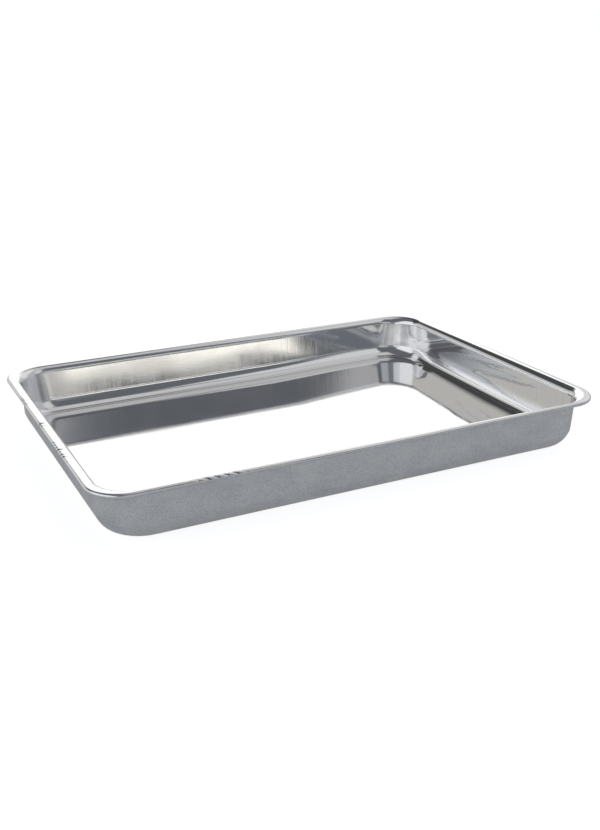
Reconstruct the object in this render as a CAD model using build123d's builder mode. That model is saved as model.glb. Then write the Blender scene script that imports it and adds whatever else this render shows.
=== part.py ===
from build123d import *
from math import cos, radians, sin, tan
from os import makedirs

# A shallow rectangular tray pressed from one sheet of steel, with a wire rolled into its rim.
# Millimetres. The tray stands on the XY plane, its open side up, with the middle of its
# underside at the origin, its length along X and its width along Y.

makedirs("parts", exist_ok=True)

# ---- driving dimensions ----------------------------------------------------------------------
length = 370.0              # over the rolled edge
width = 264.0               # over the rolled edge
height = 36.2               # from the underside up to the rim
sheet = 0.6                 # thickness of the steel
draft = 0.5                 # degrees by which each wall leans outward

end_overhang = 8.6          # from the outer face of a short wall out to the edge of the rim
side_overhang = 5.9         # the same on the long walls
rim_corner = 24.2           # corner radius of the rim's outermost edge, in plan
wall_corner = 25.0          # corner radius of the wall under the flange
foot_corner = 30.0          # corner radius of the wall at its foot
floor_bend = 13.0           # outer radius of the bend from wall to floor
flange_bend = 4.8           # inner radius of the bend from wall to flange

wire_diameter = 2.0         # the wire inside the rolled edge
wire_play = 0.03            # air between the wire and the sheet rolled round it
wire_gap = 0.8              # between the butted ends of the wire
curl_end = -160.0           # direction, from outward, in which the rolled sheet ends underneath

# ---- derived dimensions ----------------------------------------------------------------------
curl_inner = wire_diameter / 2 + wire_play
curl_outer = curl_inner + sheet
wire_height = height - curl_outer
lean = height * tan(radians(draft))

wall_length = length - 2 * end_overhang
wall_width = width - 2 * side_overhang
foot_length = wall_length - 2 * lean
foot_width = wall_width - 2 * lean

wire_length = length - 2 * curl_outer
wire_width = width - 2 * curl_outer
wire_corner = rim_corner - curl_outer


def around_axis(radius, angle):
    """Point of the rim's section at a distance and a direction in degrees from the wire's axis."""
    return (radius * cos(radians(angle)), radius * sin(radians(angle)))


def edges_at(edges, level):
    """The edges that lie level at one height."""
    return edges.filter_by_position(Axis.Z, level - 0.001, level + 0.001)


def faces_at(faces, level):
    """The level faces at one height, largest first."""
    flat = faces.filter_by(Axis.Z).filter_by_position(Axis.Z, level - 0.001, level + 0.001)
    return flat.sort_by(SortBy.AREA, reverse=True)


def rim_path(gap):
    """Draws the wire's axis once round the rim, clockwise, from a gap in the middle behind."""
    x = wire_length / 2
    y = wire_width / 2
    r = wire_corner
    Line((gap / 2, y), (x - r, y))
    CenterArc((x - r, y - r), r, 90, -90)
    Line((x, y - r), (x, r - y))
    CenterArc((x - r, r - y), r, 0, -90)
    Line((x - r, -y), (r - x, -y))
    CenterArc((r - x, r - y), r, 270, -90)
    Line((-x, r - y), (-x, y - r))
    CenterArc((r - x, y - r), r, 180, -90)
    Line((r - x, y), (-gap / 2, y))


# the rim's section, behind: across the wire, with u outward along +Y and v up
rim_section = Plane(origin=(0, wire_width / 2, wire_height), x_dir=(0, 1, 0), z_dir=(1, 0, 0))

# ---- cavity: the space inside the tray, later taken out of the pan ---------------------------
with BuildPart() as cavity:
    with BuildSketch(Plane.XY.offset(sheet)):
        RectangleRounded(foot_length - 2 * sheet, foot_width - 2 * sheet, foot_corner - sheet)
    with BuildSketch(Plane.XY.offset(height)):
        RectangleRounded(wall_length - 2 * sheet, wall_width - 2 * sheet, wall_corner - sheet)
    loft()
    fillet(edges_at(cavity.edges(), sheet), floor_bend - sheet)

# ---- tray pan: floor, walls, flange and rolled edge, all one sheet ----------------------------
with BuildPart() as tray_pan:
    # outer skin of the walls and the floor
    with BuildSketch():
        RectangleRounded(foot_length, foot_width, foot_corner)
    with BuildSketch(Plane.XY.offset(height)):
        RectangleRounded(wall_length, wall_width, wall_corner)
    loft()
    fillet(edges_at(tray_pan.edges(), 0), floor_bend)

    # flange, out to above the wire, and the bend under it
    with BuildSketch(Plane.XY.offset(height - sheet)):
        RectangleRounded(wire_length, wire_width, wire_corner)
    extrude(amount=sheet)
    flange_underside = faces_at(tray_pan.faces(), height - sheet)[0]
    fillet(flange_underside.inner_wires()[0].edges(), flange_bend - sheet)

    # the inside, and the bend over the top of the walls
    add(cavity.part, mode=Mode.SUBTRACT)
    flange_upperside = faces_at(tray_pan.faces(), height)[0]
    fillet(flange_upperside.inner_wires()[0].edges(), flange_bend)

    # sheet rolled over and round the wire
    with BuildLine(Plane.XY.offset(wire_height)) as rim_line:
        rim_path(0)
    with BuildSketch(rim_section):
        with BuildLine():
            for radius in (curl_inner, curl_outer):
                CenterArc((0, 0), radius, 90, curl_end - 90)
            Line((0, curl_inner), (0, curl_outer))
            Line(around_axis(curl_inner, curl_end), around_axis(curl_outer, curl_end))
        make_face()
    sweep(path=rim_line.wire())

tray_pan.part.label = "tray_pan"

# ---- rim wire: one steel wire bent round the rim, its two ends meeting behind ------------------
with BuildPart() as rim_wire:
    with BuildLine(Plane.XY.offset(wire_height)) as wire_line:
        rim_path(wire_gap)
    with BuildSketch(rim_section.offset(wire_gap / 2)):
        Circle(wire_diameter / 2)
    sweep(path=wire_line.wire())

rim_wire.part.label = "rim_wire"

# ---- one file for each separate piece -----------------------------------------------------------
for piece in (tray_pan.part, rim_wire.part):
    export_step(piece, f"parts/{piece.label}.step")
    print(piece.label, "volume", round(piece.volume), "mm3, solids", len(piece.solids()))
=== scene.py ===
import math

import bmesh
import bpy
import numpy as np
from mathutils import Matrix, Vector


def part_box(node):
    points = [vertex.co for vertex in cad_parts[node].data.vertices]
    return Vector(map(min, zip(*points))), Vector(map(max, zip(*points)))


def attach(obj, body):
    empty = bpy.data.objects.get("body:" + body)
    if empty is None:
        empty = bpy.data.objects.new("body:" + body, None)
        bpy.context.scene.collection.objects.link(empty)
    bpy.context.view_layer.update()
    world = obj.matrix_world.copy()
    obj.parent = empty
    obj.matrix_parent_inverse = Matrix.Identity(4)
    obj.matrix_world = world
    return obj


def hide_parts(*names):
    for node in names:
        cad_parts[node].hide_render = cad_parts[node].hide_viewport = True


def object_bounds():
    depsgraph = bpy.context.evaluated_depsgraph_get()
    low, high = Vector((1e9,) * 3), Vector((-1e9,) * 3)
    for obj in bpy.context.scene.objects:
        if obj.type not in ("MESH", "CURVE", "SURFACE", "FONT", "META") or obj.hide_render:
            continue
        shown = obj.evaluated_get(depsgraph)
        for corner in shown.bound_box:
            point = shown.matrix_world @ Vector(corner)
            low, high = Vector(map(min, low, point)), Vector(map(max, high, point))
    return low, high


# A pressed steel tray with a wired rim, on a plain pale floor in soft studio light.
# Metres. The pan is one closed mesh, built ring by ring from its section; the wire is the CAD's.

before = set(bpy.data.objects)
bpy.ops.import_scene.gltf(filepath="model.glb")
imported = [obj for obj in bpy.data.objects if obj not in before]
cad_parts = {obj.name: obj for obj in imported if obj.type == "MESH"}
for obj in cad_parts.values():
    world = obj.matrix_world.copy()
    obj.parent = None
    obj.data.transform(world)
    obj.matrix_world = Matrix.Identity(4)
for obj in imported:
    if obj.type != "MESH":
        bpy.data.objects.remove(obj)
cad_low, cad_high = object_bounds()

MM = 0.001

# ---- sizes of the tray, as in the CAD part ------------------------------------------------------
half_length = cad_high[0]
half_width = cad_high[1]
rim_top = cad_high[2]
wire_low, wire_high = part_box("rim_wire")
wire_z = (wire_high[2] + wire_low[2]) / 2

SHEET = 0.6 * MM
DRAFT = math.radians(0.5)
END_OVERHANG = 8.6 * MM
SIDE_OVERHANG = 5.9 * MM
RIM_CORNER = 24.2 * MM
WALL_CORNER = 25.0 * MM
FOOT_CORNER = 30.0 * MM
CURL_END = math.radians(-160)

curl_outer = rim_top - wire_z
curl_inner = curl_outer - SHEET

# ---- shapes of the pan that the CAD part doesn't have -------------------------------------------
# The bend over the top of the walls follows an ellipse: how far it reaches outward at the ends and
# at the sides, and how far down, on the inside of the sheet.
BEND_END, BEND_SIDE, BEND_DEPTH = 6.0 * MM, 4.8 * MM, 5.6 * MM
# The flange's corners are rounder than the wall's by this share of the two reaches' sum.
BEND_CORNER = 0.15
# The bend at their foot follows another, outside the sheet: how far it reaches in, and how far up.
FOOT_REACH, FOOT_RISE = 10.6 * MM, 16.6 * MM
# Both bends meet the wall at a faint crease: how far the foot's has turned there, how much of the
# top's is left out, and the gap between the foot's last ring and the wall's first.
FOOT_TURN, TOP_START = math.radians(74), math.radians(11)
CREASE_GAP = 0.35 * MM

# The foot of the right-hand wall turns up more tightly than the rest, then leans out a little.
TIGHT_FOOT, TIGHT_TURN = 6.1 * MM, math.radians(80)
# Where on the floor that begins, where it has gone towards the corners, and over what length.
TIGHT_START, TIGHT_END, TIGHT_EASE = 90 * MM, 96 * MM, 22 * MM

# Stretches of the rim where its roll is puckered: side of the tray, middle and half length along
# it, spacing, depth, and how far the folds slant.
PUCKERS = (
    ("left", 54 * MM, 12 * MM, 4.0 * MM, 0.40 * MM, 0.8),
    ("left", 2 * MM, 10 * MM, 4.6 * MM, 0.44 * MM, -0.7),
    ("left", -50 * MM, 22 * MM, 4.4 * MM, 0.38 * MM, 0.8),
    ("front", -108 * MM, 17 * MM, 6.2 * MM, 0.48 * MM, 1.6),
    ("right", 20 * MM, 14 * MM, 4.8 * MM, 0.16 * MM, 0.8),
    ("back", 60 * MM, 18 * MM, 5.4 * MM, 0.16 * MM, 0.8),
)
# The folds are deepest in this direction from the wire's axis, and gone this far from it.
FOLD_MIDDLE, FOLD_SPREAD = math.radians(60), math.radians(105)
# On the flange, which starts this little below the rim's top, they run in this far from the edge.
FLANGE_DROP, FOLD_RUN = 0.3 * MM, 7.5 * MM
# A fold this deep takes the full painted shade that darkens the rim's folds in the bright steel.
FULL_SHADE_FOLD = 0.4 * MM

# Waves in the walls: depth, run along the wall per radian and slant; those of the long walls also
# come and go with height.
LONG_WAVE, LONG_RUN, LONG_SLANT, LONG_RISE = 0.01 * MM, 24 * MM, 40, 7 * MM
SHORT_WAVE, SHORT_RUN, SHORT_SLANT = 0.02 * MM, 21 * MM, 60
# The band of the walls that is uneven: its middle and half its height, as shares of the rim's.
UNEVEN_MIDDLE, UNEVEN_REACH = 0.6, 0.44

# Curved ridges that fan out along the right-hand wall, from its far corner, in millimetres: where
# they run, their height there, their depth and half their width.
FANS = (
    ((-65, -27, -2, 24, 46, 62), (31.4, 29.8, 28.4, 25.6, 21.4, 17.0), 0.15, 2.1),
    ((-100, -65, -49, -18, 15, 40), (30.6, 27.2, 24.6, 21.4, 15.6, 10.5), 0.18, 2.3),
)

# The floor's upper side rises towards the far right corner: how much, where it has done so along
# the tray and over what run, where it begins across the tray and over what run, and how far up the
# walls it is felt, as a share of the rim's height.
LIFT = 1.8 * MM
LIFT_X, LIFT_RUN_X = 150 * MM, 115 * MM
LIFT_Y, LIFT_RUN_Y = -30 * MM, 125 * MM
LIFT_FADE = 0.4

# ---- rings: rounded rectangles in plan ----------------------------------------------------------
# Points along a ring's long sides, short sides and corners. A ring may use every second or fourth.
LONG_STEPS, SHORT_STEPS, CORNER_STEPS = 320, 216, 32
# Steps of the section, on the sheet's outer and inner face.
OUTER_STEPS = {"floor_bend": 8, "wall": 5, "flange_bend": 5}
INNER_STEPS = {"floor_bend": 14, "wall": 21, "flange_bend": 9}
INNER_CURL_STEPS, OUTER_CURL_STEPS, FLANGE_STEPS = 6, 18, 3
UNDERSIDE_STEPS, FLOOR_STEPS = 6, 16

FACES = {"back": (0, 1), "left": (-1, 0), "front": (0, -1), "right": (1, 0)}
# A point belongs to a side if it faces that way by at least this much; the rest are corners.
FACING = 0.99
# Where the rim is puckered, this many more points are added to each one, a little past the folds.
CROWDING, CROWDED_PAST = 2, 1.3
# Points closer than this are one.
WELD = 1e-7
# A face points down below this, and lies on the sheet's outer side beyond this.
POINTS_DOWN, OUTER_SIDE = -0.02, -0.3 * MM


def crowded(steps, length, spots):
    """Shares of a side's length for its points, three times as close where the rim is puckered."""
    places = np.linspace(0, 1, 2000)
    density = np.ones_like(places)
    for middle, reach in spots:
        past = ((places - 0.5) * length - middle) / (reach * CROWDED_PAST)
        density += CROWDING * np.exp(-past ** 4)
    travelled = np.concatenate([[0], np.cumsum(density[:-1])])
    return np.interp(np.arange(steps) / steps * travelled[-1], travelled, places)


def ring_pattern(puckers):
    """For each point round a ring: the weights of its corner's centre, and its direction."""
    weights, directions = [], []
    corners = ((1, 1), (-1, 1), (-1, -1), (1, -1))
    for k, (corner, side) in enumerate(zip(corners, FACES)):
        start = k * math.pi / 2
        for i in range(CORNER_STEPS):
            weights.append(corner)
            directions.append(start + math.pi / 2 * i / CORNER_STEPS)
        following = corners[(k + 1) % 4]
        steps = LONG_STEPS if k % 2 == 0 else SHORT_STEPS
        length = 2 * ((half_length if k % 2 == 0 else half_width) - RIM_CORNER)
        sign = -1 if side in ("back", "left") else 1
        spots = [(sign * middle, reach) for where, middle, reach, *_ in puckers if where == side]
        for share in crowded(steps, length, spots):
            weights.append([p + (q - p) * share for p, q in zip(corner, following)])
            directions.append(start + math.pi / 2)
    return np.array(weights, float), np.array(directions)


# The points are crowded at the rim and even along the floor's middle line, where the front's and
# the back's have to meet. They begin to even out at this inset.
EVEN_START = 18 * MM
ring_weights, ring_directions = ring_pattern(PUCKERS)
even_weights, _ = ring_pattern(())
ring_outward = np.stack([np.cos(ring_directions), np.sin(ring_directions)], axis=1)
RING_POINTS = len(ring_directions)
on_side = {side: ring_outward @ np.array(face) > FACING for side, face in FACES.items()}


def ring(station, stride, thickness):
    """Points of one ring, and how deep in a fold each lies. A station is its inset from the rim at
    the ends and at the sides, its corner radius, its height and, where it lies on the roll's
    outside, its direction from the wire's axis. The thickness is 0 for the sheet's outer face."""
    inset_end, inset_side, radius, height = station[:4]
    reach = np.array([half_length - inset_end - radius, half_width - inset_side - radius])
    even = min(max((inset_side - EVEN_START) / (half_width - EVEN_START), 0), 1)
    weights = ring_weights * (1 - even) + even_weights * even
    plan = weights * reach + ring_outward * radius
    points = np.column_stack([plan, np.full(RING_POINTS, height)])
    crease = np.zeros(RING_POINTS)
    if len(station) > 4:
        points, crease = pucker(points, station[4])
    elif height > rim_top - FLANGE_DROP:
        points, crease = pucker(points, math.pi / 2, window(inset_end, 0.0, FOLD_RUN))
    points = dent(tighten(points, thickness), thickness)
    return points[::stride], crease[::stride]


def window(value, middle, reach):
    """1 at the middle, falling smoothly to 0 at its reach."""
    share = np.clip(np.abs(value - middle) / reach, 0, 1)
    return (0.5 + 0.5 * np.cos(math.pi * share)) ** 0.7


def pucker(points, turn, share=1.0):
    """Short slanting folds pressed into the roll; turn is the direction from the wire's axis."""
    x, y = points[:, 0], points[:, 1]
    along = {"left": y, "right": y, "front": x, "back": x}
    depth = np.zeros(len(points))
    hold = share * float(window(turn, FOLD_MIDDLE, FOLD_SPREAD))
    for side, middle, reach, spacing, deep, slant in PUCKERS:
        place = along[side]
        phase = 2 * math.pi * ((place - middle) + slant * curl_outer * turn) / spacing
        # No two folds are of one depth, and each is narrower than a sine wave's trough.
        uneven = 0.75 + 0.25 * np.sin(phase * 0.37 + middle * 900)
        fold = (0.5 + 0.5 * np.cos(phase + 0.5 * np.sin(phase))) ** 1.6
        depth += on_side[side] * deep * fold * uneven * window(place, middle, reach) ** 0.4
    inward = np.column_stack([ring_outward * math.cos(turn), np.full(len(points), math.sin(turn))])
    # The second value is each point's share of the painted shade in the folds.
    return points - inward * (depth * hold)[:, None], depth * hold / FULL_SHADE_FOLD


def tighten(points, thickness):
    """Move the foot of the right-hand wall outward, so that it turns up more tightly."""
    x, y, z = points.T
    reach, rise, radius = FOOT_REACH - thickness, FOOT_RISE - thickness, TIGHT_FOOT - thickness
    height = np.clip(z - thickness, 0, rise)
    wide = reach - reach * np.sqrt(1 - (1 - height / rise) ** 2) - foot_gap(thickness)
    wide = np.maximum(wide, 0)
    turned = radius * (1 - math.cos(TIGHT_TURN))
    slope = math.tan(math.pi / 2 - TIGHT_TURN)
    leaning = slope * (rise - np.maximum(height, turned)) ** 2 / (2 * (rise - turned))
    low = np.minimum(height, turned)
    arc = radius * (math.sin(TIGHT_TURN) - np.sqrt(1 - (1 - low / radius) ** 2))
    foot_line = half_length - END_OVERHANG - FOOT_REACH + foot_gap(thickness)
    share = np.clip((x - TIGHT_START) / (foot_line - TIGHT_START), 0, 1)
    share *= on_side["right"] * np.clip((TIGHT_END - np.abs(y)) / TIGHT_EASE, 0, 1)
    points[:, 0] += (wide - leaning - arc) * share
    return points


def dent(points, thickness):
    """The small unevenness that pressing leaves in the walls, and in the floor's upper side."""
    x, y, z = points.T
    wall = window(z, rim_top * UNEVEN_MIDDLE, rim_top * UNEVEN_REACH)
    short_wall, long_wall = np.abs(ring_outward).T
    swell = np.sin(z / LONG_RISE + 1.0)
    wave = long_wall * LONG_WAVE * np.sin(x / LONG_RUN + LONG_SLANT * z) * swell
    wave += short_wall * SHORT_WAVE * np.sin(y / SHORT_RUN + SHORT_SLANT * z)
    for places, heights, depth, reach in FANS:
        start, end = places[0], places[-1]
        middle = np.interp(y, np.array(places) * MM, np.array(heights) * MM)
        fold = np.exp(-(((z - middle) / (reach * MM)) ** 2))
        ends = window(y, (start + end) / 2 * MM, (end - start) / 2 * MM)
        wave -= on_side["right"] * depth * MM * fold * ends
    points[:, :2] += ring_outward * (wave * wall)[:, None]
    lift = window(np.minimum(x, LIFT_X), LIFT_X, LIFT_RUN_X)
    lift *= np.clip((y - LIFT_Y) / LIFT_RUN_Y, 0, 1) ** 1.2
    low = np.clip(1 - z / (LIFT_FADE * rim_top), 0, 1) * (thickness > 0)
    points[:, 2] += LIFT * lift * low
    return points


def rim_station(u, v, turn=None):
    """u points outward and v up, from the wire's axis."""
    inset = curl_outer - u
    station = (inset, inset, RIM_CORNER - inset, wire_z + v)
    return station if turn is None else station + (turn,)


def rim_arc(radius, start, end, steps, folded):
    """Stations round the wire, with their directions if the folds are pressed into them."""
    return [rim_station(radius * math.cos(a), radius * math.sin(a), a if folded else None)
            for a in np.linspace(start, end, steps + 1)]


def wall_station(inset, radius_change, height):
    """A station inset from the outer face of the wall's top edge."""
    share = height / rim_top
    corner = WALL_CORNER * share + FOOT_CORNER * (1 - share)
    return (END_OVERHANG + inset, SIDE_OVERHANG + inset, corner - radius_change, height)


def wall_inset(height):
    """How far in the wall's outer face has leaned at this height."""
    return (rim_top - height) * math.tan(DRAFT)


def foot_gap(thickness):
    """How much of the foot's ellipse is left out beyond the crease, sideways."""
    reach, rise = FOOT_REACH - thickness, FOOT_RISE - thickness
    return reach - reach**2 * math.sin(FOOT_TURN) / math.hypot(
        reach * math.sin(FOOT_TURN), rise * math.cos(FOOT_TURN))


def skin_of_wall(thickness, steps):
    """From the start of the floor bend up to the flange, for one face of the sheet."""
    reach, rise = FOOT_REACH - thickness, FOOT_RISE - thickness
    stations = []
    for lean in np.linspace(0, FOOT_TURN, steps["floor_bend"] + 1):
        size = math.hypot(reach * math.sin(lean), rise * math.cos(lean))
        height = FOOT_RISE - rise**2 * math.cos(lean) / size
        inset = wall_inset(height) + FOOT_REACH - reach**2 * math.sin(lean) / size
        inset -= foot_gap(thickness)
        stations.append(wall_station(inset, inset - wall_inset(height), height))
    drop = BEND_DEPTH - SHEET + thickness
    base_height = rim_top - BEND_DEPTH
    top = base_height + drop * math.sin(TOP_START)
    foot = stations[-1][3] + CREASE_GAP
    for height in np.linspace(foot, top, steps["wall"] + 1):
        stations.append(wall_station(wall_inset(height) + thickness, thickness, height))
    base = wall_inset(top)
    for a in np.linspace(TOP_START, math.pi / 2, steps["flange_bend"] + 1)[1:]:
        turned = (math.cos(TOP_START) - math.cos(a)) / math.cos(TOP_START)
        out_end = (BEND_END - SHEET + thickness) * turned
        out_side = (BEND_SIDE - SHEET + thickness) * turned
        radius = WALL_CORNER - thickness + (out_end + out_side) * BEND_CORNER - base
        stations.append((END_OVERHANG + base + thickness - out_end,
                         SIDE_OVERHANG + base + thickness - out_side,
                         radius, base_height + drop * math.sin(a)))
    return stations


def between(first, last, steps):
    """Stations strictly between two others."""
    first, last = np.array(first[:4]), np.array(last[:4])
    return [tuple(first + (last - first) * k / steps) for k in range(1, steps)]


def floor_fill(edge, steps):
    """Stations from the edge of the flat floor to the line in its middle."""
    inset_end, inset_side, _, height = edge
    depth = half_width - inset_side
    middle = (inset_end + depth, half_width, 0.0, height)
    return between(edge, middle, steps) + [middle]


def pan_stations():
    """All stations, each with its stride round the ring and its face's thickness, from the
    underside's middle round the sheet's edge to the floor's middle."""
    outside = skin_of_wall(0.0, OUTER_STEPS)
    inside = skin_of_wall(SHEET, INNER_STEPS)
    foot_rings = INNER_STEPS["floor_bend"] + 1
    inner_curl = rim_arc(curl_inner, math.pi / 2, CURL_END, INNER_CURL_STEPS, False)
    outer_curl = rim_arc(curl_outer, CURL_END, math.pi / 2, OUTER_CURL_STEPS, True)
    plan = [(s, 4, 0.0) for s in reversed(floor_fill(outside[0], UNDERSIDE_STEPS))]
    plan += [(s, 2, 0.0) for s in outside + inner_curl]
    plan += [(s, 1, 0.0) for s in outer_curl]
    plan += [(s, 1, SHEET) for s in between(outer_curl[-1], inside[-1], FLANGE_STEPS)]
    plan += [(s, 1, SHEET) for s in reversed(inside[foot_rings:])]
    plan += [(s, 2, SHEET) for s in reversed(inside[:foot_rings])]
    plan += [(s, 4, SHEET) for s in floor_fill(inside[0], FLOOR_STEPS)]
    return plan


def stitch(first, last, stride_first, stride_last):
    """Faces between two rings, given the index of each ring's first point. Where one ring has half
    as many points, five-sided faces join them."""
    faces = []
    wide = max(stride_first, stride_last)
    fine_first, fine_last = wide // stride_first, wide // stride_last
    total_first, total_last = RING_POINTS // stride_first, RING_POINTS // stride_last
    for k in range(RING_POINTS // wide):
        lower = [first + (k * fine_first + i) % total_first for i in range(fine_first + 1)]
        upper = [last + (k * fine_last + i) % total_last for i in range(fine_last + 1)]
        faces.append(lower + upper[::-1])
    return faces


def build_pan():
    """The whole sheet as one closed mesh; its attribute "crease" says how deep in a fold it is, and
    so how much painted shade the fold gets.
    """
    points, creases, faces = [], [], []
    start, previous = 0, None
    for station, stride, thickness in pan_stations():
        rows, crease = ring(station, stride, thickness)
        if previous:
            faces += stitch(previous[0], start, previous[1], stride)
        points.append(rows)
        creases.append(crease)
        previous = (start, stride)
        start += len(rows)
    mesh = bpy.data.meshes.new("tray_pan_sheet")
    mesh.from_pydata(np.vstack(points).tolist(), [], faces)
    depths = mesh.attributes.new("crease", "FLOAT", "POINT")
    depths.data.foreach_set("value", np.concatenate(creases))
    shape = bmesh.new()
    shape.from_mesh(mesh)
    bmesh.ops.remove_doubles(shape, verts=shape.verts, dist=WELD)
    bmesh.ops.recalc_face_normals(shape, faces=shape.faces)
    shape.to_mesh(mesh)
    shape.free()
    mesh.shade_smooth()
    pan = bpy.data.objects.new("tray_pan_sheet", mesh)
    bpy.context.collection.objects.link(pan)
    return pan


def paint_sides(pan):
    """The satin slot goes on what faces out or down, the bright slot on what faces in or up."""
    for face in pan.data.polygons:
        x, y, z = face.center
        beyond_wall = max(abs(x) - half_length + END_OVERHANG, abs(y) - half_width + SIDE_OVERHANG)
        under_roll = beyond_wall > OUTER_SIDE and z < wire_z - curl_outer
        face.material_index = 1 if face.normal.z < POINTS_DOWN or under_roll else 0


# ---- materials ----------------------------------------------------------------------------------
class Tree:
    """Short calls that add nodes to a node tree and join them."""

    def __init__(self, tree):
        self.nodes, self.links = tree.nodes, tree.links

    def add(self, kind, inputs=(), output=0, **settings):
        node = self.nodes.new(kind)
        for name, value in settings.items():
            setattr(node, name, value)
        for slot, value in dict(inputs).items():
            if isinstance(value, bpy.types.NodeSocket):
                self.links.new(value, node.inputs[slot])
            else:
                node.inputs[slot].default_value = value
        return node.outputs[output]

    def math(self, operation, first, second=0.0):
        return self.add("ShaderNodeMath", {0: first, 1: second}, operation=operation)

    def plus(self, first, second):
        return self.math("ADD", first, second)

    def times(self, first, second):
        return self.math("MULTIPLY", first, second)

    def dot(self, first, second):
        vectors = {0: first, 1: second}
        return self.add("ShaderNodeVectorMath", vectors, "Value", operation="DOT_PRODUCT")

    def fade(self, value, start, end, low=0.0, high=1.0):
        inputs = {"Value": value, "From Min": start, "From Max": end, "To Min": low, "To Max": high}
        return self.add("ShaderNodeMapRange", inputs, interpolation_type="SMOOTHSTEP")

    def split(self, vector):
        node = self.nodes.new("ShaderNodeSeparateXYZ")
        self.links.new(vector, node.inputs[0])
        return node.outputs[0], node.outputs[1], node.outputs[2]

    def noise(self, place, stretch, scale, detail):
        vectors = {0: place, 1: stretch}
        place = self.add("ShaderNodeVectorMath", vectors, "Vector", operation="MULTIPLY")
        inputs = {"Vector": place, "Scale": scale, "Detail": detail}
        return self.add("ShaderNodeTexNoise", inputs, "Fac")

    def mix(self, factor, first, second):
        """One colour where the factor is 0, the other where it is 1."""
        inputs = {0: factor, 6: (*first, 1) if isinstance(first, tuple) else first, 7: (*second, 1)}
        return self.add("ShaderNodeMix", inputs, 2, data_type="RGBA")


class Metal(Tree):
    """A metal's node tree, with its place on the object."""

    def __init__(self, name):
        self.material = bpy.data.materials.new(name)
        self.material.use_nodes = True
        super().__init__(self.material.node_tree)
        self.shader = self.nodes["Principled BSDF"]
        self.shader.inputs["Metallic"].default_value = 1
        self.place = self.add("ShaderNodeTexCoord", output="Object")

    def surface(self, colour, rough, rise, relief, strength=1.0):
        """Join up colour, roughness and fine relief, relief being its depth."""
        relief = {"Height": rise, "Distance": relief, "Strength": strength}
        self.links.new(colour, self.shader.inputs["Base Color"])
        self.links.new(rough, self.shader.inputs["Roughness"])
        self.links.new(self.add("ShaderNodeBump", relief), self.shader.inputs["Normal"])
        return self.material


EVEN = (1.0, 1.0, 1.0)


def bright_steel():
    """Tin-bright sheet: a mirror with fine drawing marks up the walls, a faint grain, smears, and
    painted shade darkening the rim's folds.
    """
    metal = Metal("bright_steel")
    plus, times, fade = metal.plus, metal.times, metal.fade
    normal = metal.add("ShaderNodeNewGeometry", output="Normal")
    facing_up = metal.math("ABSOLUTE", metal.dot(normal, (0, 0, 1)))
    wall = fade(facing_up, 0.8, 0.3)
    drawn = metal.noise(metal.place, stretch=(1.0, 1.0, 0.03), scale=1100, detail=2)
    grain = metal.noise(metal.place, stretch=EVEN, scale=900, detail=3)
    smear = metal.noise(metal.place, stretch=(1.0, 1.6, 1.0), scale=26, detail=4)
    scored = metal.noise(metal.place, stretch=(0.02, 0.02, 1.0), scale=700, detail=1)
    x, y, z = metal.split(metal.place)

    # Painted shade: the rim's creases are darkened towards dark grey by how deep each fold is,
    # standing in for the shadow inside the folds.
    shade = fade(plus(times(drawn, wall), grain), 0.5, 1.4)
    colour = metal.mix(shade, (0.80, 0.80, 0.80), (0.87, 0.87, 0.87))
    depth = metal.add("ShaderNodeAttribute", output="Fac", attribute_name="crease")
    colour = metal.mix(fade(depth, 0.15, 0.6), colour, (0.22, 0.23, 0.24))

    # The corners are duller than the rest, the left-hand ones most.
    from_end = metal.math("SUBTRACT", half_length, metal.math("ABSOLUTE", x))
    from_side = metal.math("SUBTRACT", half_width, metal.math("ABSOLUTE", y))
    corner = fade(plus(from_end, from_side), 60 * MM, 34 * MM)
    marks = times(wall, fade(drawn, 0.35, 0.75))
    rough = plus(fade(smear, 0.35, 0.75, low=0.045, high=0.08), times(marks, 0.04))
    rough = plus(rough, times(corner, fade(x, -150 * MM, -60 * MM, low=0.15, high=0.05)))

    # Lines are scored along the foot of the right-hand wall.
    scored = times(times(scored, fade(z, 15 * MM, 11 * MM)), fade(x, 150 * MM, 170 * MM))
    rise = plus(times(times(drawn, wall), 1.6), grain)
    rise = plus(rise, times(times(scored, wall), 5.0))
    return metal.surface(colour, rough, rise, relief=0.004 * MM)


def satin_steel():
    """The sheet's other face: dull grey with a fine bluish speckle and faint scuffs."""
    metal = Metal("satin_steel")
    plus, times, fade = metal.plus, metal.times, metal.fade
    speckle = metal.noise(metal.place, stretch=EVEN, scale=1300, detail=4)
    cloud = metal.noise(metal.place, stretch=(1.0, 1.0, 1.6), scale=60, detail=5)
    scuff = metal.noise(metal.place, stretch=(0.12, 0.12, 1.0), scale=500, detail=3)
    tone = plus(times(speckle, 0.7), times(cloud, 0.3))
    colour = metal.mix(fade(tone, 0.35, 0.65), (0.60, 0.63, 0.66), (0.84, 0.86, 0.87))
    rough = plus(fade(cloud, 0.3, 0.7, low=0.30, high=0.38), times(speckle, 0.08))
    rise = plus(speckle, times(scuff, 0.6))
    return metal.surface(colour, rough, rise, relief=0.03 * MM)


def zinc_wire():
    """Dull zinc with a mottled tone."""
    metal = Metal("zinc_wire")
    mottle = metal.noise(metal.place, stretch=EVEN, scale=400, detail=4)
    colour = metal.mix(metal.fade(mottle, 0.35, 0.65), (0.42, 0.44, 0.46), (0.62, 0.64, 0.66))
    rough = metal.fade(mottle, 0.3, 0.7, low=0.32, high=0.5)
    return metal.surface(colour, rough, mottle, relief=0.05 * MM, strength=0.6)


pan = build_pan()
pan.data.materials.append(bright_steel())
pan.data.materials.append(satin_steel())
paint_sides(pan)
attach(pan, "root")
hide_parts("tray_pan")
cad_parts["rim_wire"].data.materials.clear()
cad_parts["rim_wire"].data.materials.append(zinc_wire())

# ---- floor --------------------------------------------------------------------------------------
FLOOR_SIDE = 30.0
FLOOR_COLOUR = (0.42, 0.42, 0.43, 1)
# How much the floor glows for the camera, and for the tray's steel.
FLOOR_SEEN, FLOOR_REFLECTED = 0.85, 0.21


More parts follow.
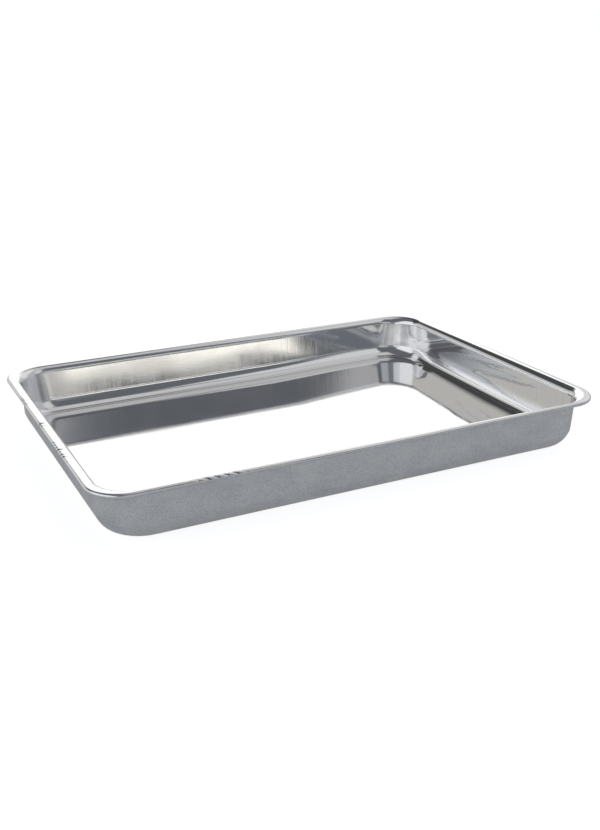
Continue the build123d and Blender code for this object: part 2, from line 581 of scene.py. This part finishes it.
def build_floor():
    """A floor that the camera sees nearly white and the tray's steel sees pale grey."""
    mesh = bpy.data.meshes.new("floor")
    signs = ((-1, -1), (1, -1), (1, 1), (-1, 1))
    mesh.from_pydata([(FLOOR_SIDE * a, FLOOR_SIDE * b, 0) for a, b in signs], [], [(0, 1, 2, 3)])
    floor = bpy.data.objects.new("floor", mesh)
    bpy.context.collection.objects.link(floor)
    material = bpy.data.materials.new("pale_floor")
    material.use_nodes = True
    shader = material.node_tree.nodes["Principled BSDF"]
    tree = Tree(material.node_tree)
    seen = tree.add("ShaderNodeLightPath", output="Is Camera Ray")
    glow = tree.fade(seen, 0.0, 1.0, low=FLOOR_REFLECTED, high=FLOOR_SEEN)
    shader.inputs["Base Color"].default_value = FLOOR_COLOUR
    shader.inputs["Roughness"].default_value = 0.9
    shader.inputs["Specular IOR Level"].default_value = 0.1
    shader.inputs["Emission Color"].default_value = (1, 1, 1, 1)
    tree.links.new(glow, shader.inputs["Emission Strength"])
    mesh.materials.append(material)


build_floor()

# ---- camera: fitted to the tray's outline in the photograph -------------------------------------
CAMERA_PLACE = (-0.30862, -0.65024, 0.28274)
# Turned from +Y towards +X, looking down, and rolled.
YAW, PITCH, ROLL = math.radians(25.993), math.radians(20.667), math.radians(-0.603)
SENSOR_HEIGHT, LENS = 36, 44.46


def build_camera():
    forward = Vector((math.sin(YAW) * math.cos(PITCH), math.cos(YAW) * math.cos(PITCH),
                      -math.sin(PITCH)))
    right = Vector((math.cos(YAW), -math.sin(YAW), 0))
    up = right.cross(forward)
    tilted_right = right * math.cos(ROLL) + up * math.sin(ROLL)
    tilted_up = up * math.cos(ROLL) - right * math.sin(ROLL)
    data = bpy.data.cameras.new("camera")
    data.sensor_fit = "VERTICAL"
    data.sensor_height = SENSOR_HEIGHT
    data.lens = LENS
    camera = bpy.data.objects.new("camera", data)
    turned = Matrix((tilted_right, tilted_up, -forward)).transposed().to_4x4()
    camera.matrix_world = Matrix.Translation(CAMERA_PLACE) @ turned
    bpy.context.collection.objects.link(camera)
    bpy.context.scene.camera = camera


build_camera()

# ---- light --------------------------------------------------------------------------------------
# The studio is a dim room with large soft panels round the tray. Each panel is given by the
# direction of its middle (degrees from +Y towards +X, and above the floor), the tilt of its sides,
# its width and height in degrees, the softness of its edges in degrees, and its colour. Where
# panels overlap, the later one shows. "gap" is darker than the room.
ROOM = (0.140, 0.149, 0.166)
PANELS = {
    "gap": (0, 43, 0, 84, 24, 3, (0.07, 0.072, 0.075)),
    "ceiling": (95, 72, 0, 40, 34, 6, (0.62, 0.62, 0.63)),
    "right": (82, 22, 0, 84, 56, 6, (0.48, 0.49, 0.52)),
    "back_left": (-32, 9, 0, 66, 42, 4, (0.62, 0.61, 0.59)),
    "back_low": (-40, 6, 0, 54, 14, 4, (0.95, 0.96, 0.98)),
    "left": (-92, 20, 0, 64, 60, 6, (0.95, 0.96, 0.99)),
    "front_left": (-132, 10, 0, 26, 44, 1.5, (0.70, 0.73, 0.77)),
    "front_left_low": (-132, 3, 0, 26, 17, 1.5, (1.30, 1.32, 1.35)),
    "front_dark": (-154.5, 10, 0, 21, 44, 1.5, (0.21, 0.23, 0.26)),
    "front_corner": (-178, 10, 0, 26, 44, 4, (0.46, 0.48, 0.51)),
    "front_right": (143.5, 20, 0, 16, 12, 1, (0.50, 0.50, 0.51)),
    "right_low": (134, 40, -12, 24, 32, 1, (0.70, 0.71, 0.73)),
    "front_edge": (169.4, 14.8, -5, 5, 7.0, 0.5, (0.66, 0.64, 0.59)),
    "front_side": (164.6, 14.35, -6, 7, 5.2, 0.2, (1.50, 1.46, 1.34)),
    "front_low": (158.3, 14.5, -5, 6.5, 4.2, 0.2, (1.65, 1.60, 1.47)),
    "backdrop_top": (62, 38, 0, 44, 46, 5, (0.85, 0.85, 0.86)),
    "backdrop": (21, 14, 0, 34, 44, 3, (1.3, 1.3, 1.3)),
}


def direction(azimuth, elevation):
    """The unit vector that points there, both in degrees."""
    a, e = math.radians(azimuth), math.radians(elevation)
    return Vector((math.sin(a) * math.cos(e), math.cos(a) * math.cos(e), math.sin(e)))


def panel_mask(tree, towards, azimuth, elevation, tilt, wide, tall, soft):
    """1 where a direction looks at the panel, 0 where it doesn't."""
    middle = direction(azimuth, elevation)
    right = Vector((middle.y, -middle.x, 0)).normalized()
    up = right.cross(middle)
    turn = Matrix.Rotation(math.radians(tilt), 3, middle)
    depth = tree.dot(towards, middle)
    mask = tree.fade(depth, 0.0, 0.02)
    depth = tree.math("MAXIMUM", depth, 0.01)
    edge = math.radians(soft)
    for axis, size in ((turn @ right, wide), (turn @ up, tall)):
        reach = math.tan(math.radians(size / 2))
        across = tree.math("ABSOLUTE", tree.math("DIVIDE", tree.dot(towards, axis), depth))
        mask = tree.times(mask, tree.fade(across, reach + edge, reach - edge))
    return mask


def build_studio():
    """The camera sees plain white behind the floor; the steel sees the room and its panels."""
    world = bpy.data.worlds.new("studio")
    bpy.context.scene.world = world
    world.use_nodes = True
    world.node_tree.nodes.clear()
    tree = Tree(world.node_tree)
    towards = tree.add("ShaderNodeTexCoord", output="Generated")
    colour = ROOM
    for *place, glow in PANELS.values():
        colour = tree.mix(panel_mask(tree, towards, *place), colour, glow)
    seen = tree.add("ShaderNodeLightPath", output="Is Camera Ray")
    colour = tree.mix(seen, colour, (1, 1, 1))
    light = tree.add("ShaderNodeBackground", {"Color": colour})
    out = tree.nodes.new("ShaderNodeOutputWorld")
    tree.links.new(light, out.inputs["Surface"])


build_studio()
bpy.context.scene.view_settings.view_transform = "Standard"
